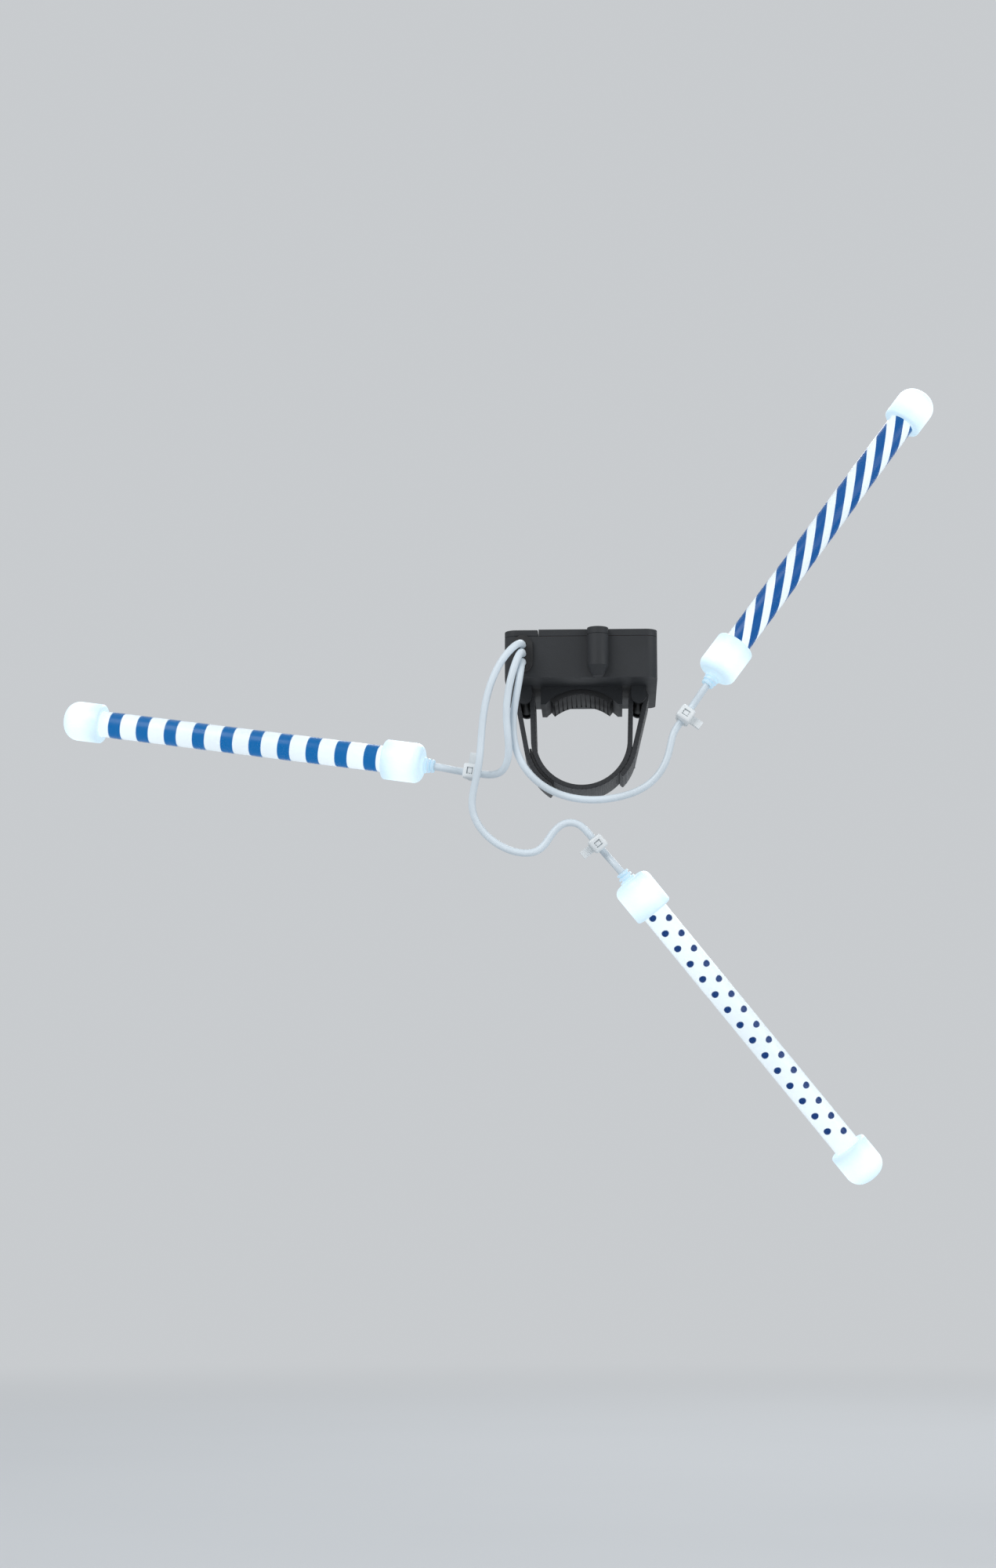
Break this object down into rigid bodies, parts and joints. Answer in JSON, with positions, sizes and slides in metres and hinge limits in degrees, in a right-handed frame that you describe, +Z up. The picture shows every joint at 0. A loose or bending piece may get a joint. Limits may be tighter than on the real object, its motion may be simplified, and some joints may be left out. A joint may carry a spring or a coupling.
{
  "type": "spoke wheel light",
  "caption": "Bicycle wheel light: lit tubes with printed sleeves and frosted caps clip to the spokes, and leads run to a battery pack strapped round the hub.",
  "frame": {"origin": "centre of the hub's barrel, on the axle", "axes": "+Y along the axle, away from the side that the lights face; +Z up; the wheel lies in the XZ plane"},
  "size_m": [0.268, 0.0683, 0.2436],
  "materials": {
    "clear_tube": "clear, polished",
    "printed_film": "white film with a dark blue print, lit from its ends",
    "frosted_cap": "frosted, lit from inside",
    "led_epoxy": "clear epoxy",
    "wire_insulation": "extruded",
    "lead_jacket": "soft extruded jacket",
    "tie_nylon": "natural nylon",
    "pack_plastic": "fine moulded texture",
    "seal_rubber": "smooth",
    "steel": "plated",
    "plated_steel": "nickel plated",
    "brass": "turned",
    "cell_wrap": "plain printed wrap",
    "board_laminate": "solder mask",
    "board_plastic": "moulded",
    "switch_white": "moulded",
    "button_rubber": "soft touch",
    "grommet_rubber": "soft",
    "pad_rubber": "ribbed",
    "strap_fabric": "woven loop pile",
    "hook_fabric": "nylon hooks"
  },
  "bodies": {
    "root": {"band_tube": "clear_tube", "band_sleeve": "printed_film", "band_inner_cap": "frosted_cap", "band_outer_cap": "frosted_cap", "band_inner_led": "led_epoxy", "band_outer_led": "led_epoxy", "band_wires": "wire_insulation", "band_lead": "lead_jacket", "band_lead_tie": "tie_nylon", "stripe_tube": "clear_tube", "stripe_sleeve": "printed_film", "stripe_inner_cap": "frosted_cap", "stripe_outer_cap": "frosted_cap", "stripe_inner_led": "led_epoxy", "stripe_outer_led": "led_epoxy", "stripe_wires": "wire_insulation", "stripe_lead": "lead_jacket", "stripe_lead_tie": "tie_nylon", "dot_tube": "clear_tube", "dot_sleeve": "printed_film", "dot_inner_cap": "frosted_cap", "dot_outer_cap": "frosted_cap", "dot_inner_led": "led_epoxy", "dot_outer_led": "led_epoxy", "dot_wires": "wire_insulation", "dot_lead": "lead_jacket", "dot_lead_tie": "tie_nylon", "pack_housing": "pack_plastic", "hinge_pin": "steel", "screw_insert": "brass", "cell_left": "cell_wrap", "cell_middle": "cell_wrap", "cell_right": "cell_wrap", "contact_plates": "plated_steel", "contact_springs": "plated_steel", "circuit_board": "board_laminate", "board_parts": "board_plastic", "switch_body": "board_plastic", "deck_cover": "pack_plastic", "lead_grommet": "grommet_rubber", "hub_pad": "pad_rubber", "hub_strap": "strap_fabric", "hook_patch": "hook_fabric"},
    "button": {"push_button": "button_rubber", "switch_plunger": "switch_white"},
    "lid": {"battery_lid": "pack_plastic", "lid_seal": "seal_rubber", "lid_screw": "steel"}
  },
  "joints": [
    {"name": "button_press", "type": "slide", "parent": "root", "child": "button", "axis": [0, 0, -1], "range_m": [0, 0.0006], "stiffness_N_per_m": 800, "springref_m": -0.0015},
    {"name": "lid_hinge", "type": "hinge", "parent": "root", "child": "lid", "pos_m": [0.00515, 0.02865, 0.0301], "axis": [-1, 0, 0], "range_deg": [0, 110]}
  ]
}
